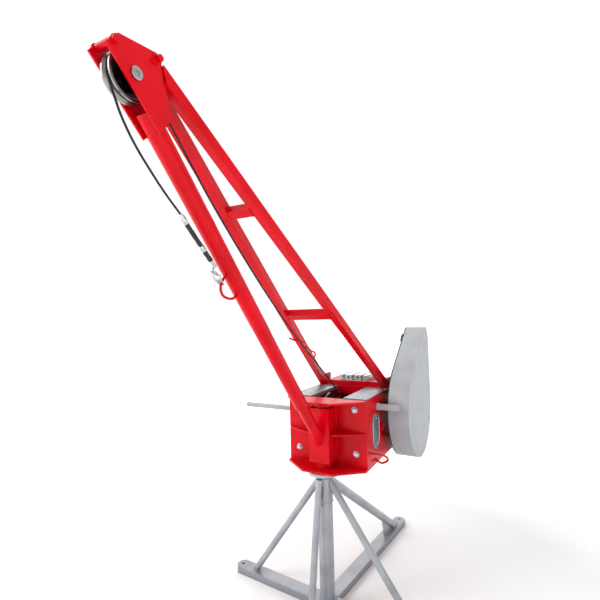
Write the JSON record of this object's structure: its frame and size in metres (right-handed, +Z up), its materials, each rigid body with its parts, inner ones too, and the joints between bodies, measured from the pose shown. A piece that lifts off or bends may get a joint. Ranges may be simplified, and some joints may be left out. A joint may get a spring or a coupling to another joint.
{
  "type": "engine hoist crane",
  "caption": "Slewing jib hoist: red winch housing with inclined boom, head sheave and hauled wire rope, turning on a silver four-legged floor stand.",
  "frame": {"origin": "centre of the floor cross on the slewing axis, at floor level", "axes": "+Z up along the slewing axis, -Y towards the boom head, +X towards the belt guard"},
  "size_m": [0.9897, 1.8419, 1.803],
  "materials": {
    "stand_silver_paint": "silver-grey sprayed paint, semi-gloss",
    "red_powder_coat": "glossy signal-red powder coat",
    "bright_steel": "turned bright steel",
    "zinc_plated_steel": "bright zinc plate",
    "bushing_bronze": "turned bearing bronze",
    "extruded_aluminium": "natural anodised extrusion",
    "grey_sheet_metal": "light grey satin sheet metal",
    "galvanised_sheet": "dull galvanised sheet steel",
    "black_machinery_paint": "black painted cast iron and plate",
    "oiled_dark_steel": "oiled dark machined steel",
    "belt_rubber": "ribbed black rubber belt",
    "black_wire_rope": "greased stranded wire rope"
  },
  "bodies": {
    "stand": {"base_side_beam": "stand_silver_paint", "base_rear_beam": "stand_silver_paint", "base_front_beam": "stand_silver_paint", "beam_end_caps": "stand_silver_paint", "column": "stand_silver_paint", "side_struts": "stand_silver_paint", "front_strut": "stand_silver_paint", "rear_strut": "stand_silver_paint", "rear_gusset": "stand_silver_paint", "slew_disc": "stand_silver_paint", "kingpin": "bright_steel", "thrust_washer": "bushing_bronze"},
    "turret": {"pivot_tube": "red_powder_coat", "pivot_bushes": "bushing_bronze", "pivot_post": "red_powder_coat", "bottom_plate": "red_powder_coat", "top_flange": "red_powder_coat", "front_plate": "red_powder_coat", "side_plate_left": "red_powder_coat", "side_plate_right": "red_powder_coat", "rear_plate": "red_powder_coat", "mid_ribs": "red_powder_coat", "rear_deck": "red_powder_coat", "deck_profile": "extruded_aluminium", "top_covers": "galvanised_sheet", "cover_screws": "zinc_plated_steel", "front_bolts": "zinc_plated_steel", "slot_cover": "galvanised_sheet", "push_bars": "grey_sheet_metal", "side_eye": "red_powder_coat", "shaft_bearings": "black_machinery_paint", "guard_shell": "grey_sheet_metal", "guard_back": "black_machinery_paint", "guard_standoffs": "black_machinery_paint", "drive_belt": "belt_rubber", "drive_chain": "oiled_dark_steel", "boom_stub": "red_powder_coat", "boom_tube": "red_powder_coat", "tie_left": "red_powder_coat", "tie_right": "red_powder_coat", "brace_upper": "red_powder_coat", "brace_lower": "red_powder_coat", "tie_gussets": "red_powder_coat", "tie_rope_leads": "red_powder_coat", "d_handle": "red_powder_coat", "cheek_left": "red_powder_coat", "cheek_right": "red_powder_coat", "head_spacers": "red_powder_coat", "axle_pin": "bright_steel", "hoist_rope": "black_wire_rope", "rope_fittings": "zinc_plated_steel", "hook": "zinc_plated_steel", "shackle": "zinc_plated_steel"},
    "drum_body": {"drum": "bright_steel"},
    "counter_body": {"counter_shaft": "oiled_dark_steel", "large_pulley": "black_machinery_paint"},
    "input_body": {"small_pulley": "black_machinery_paint"},
    "sheave_body": {"sheave": "oiled_dark_steel"},
    "latch_body": {"hook_latch": "zinc_plated_steel"}
  },
  "joints": [
    {"name": "slew", "type": "hinge", "parent": "stand", "child": "turret", "pos_m": [0, 0, 0.555], "axis": [0, 0, 1], "continuous": true},
    {"name": "counter_spin", "type": "hinge", "parent": "turret", "child": "counter_body", "pos_m": [0, 0.421, 0.745], "axis": [1, 0, 0], "continuous": true},
    {"name": "drum_spin", "type": "hinge", "parent": "turret", "child": "drum_body", "pos_m": [0, 0.2, 0.74], "axis": [1, 0, 0], "continuous": true},
    {"name": "input_spin", "type": "hinge", "parent": "turret", "child": "input_body", "pos_m": [0.24, 0.571, 1.045], "axis": [1, 0, 0], "continuous": true},
    {"name": "sheave_spin", "type": "hinge", "parent": "turret", "child": "sheave_body", "pos_m": [0, -0.958, 1.724], "axis": [1, 0, 0], "continuous": true},
    {"name": "latch", "type": "hinge", "parent": "turret", "child": "latch_body", "pos_m": [0, -0.679, 1.314], "axis": [-1, 0, 0], "range_deg": [0, 12], "stiffness_Nm_per_rad": 0.05, "springref_deg": -17.19}
  ],
  "couplings": [
    {"joint": "drum_spin", "follows": "counter_spin", "ratio": 0.44444},
    {"joint": "input_spin", "follows": "counter_spin", "ratio": 4.5238},
    {"joint": "sheave_spin", "follows": "counter_spin", "ratio": 0.42426}
  ]
}
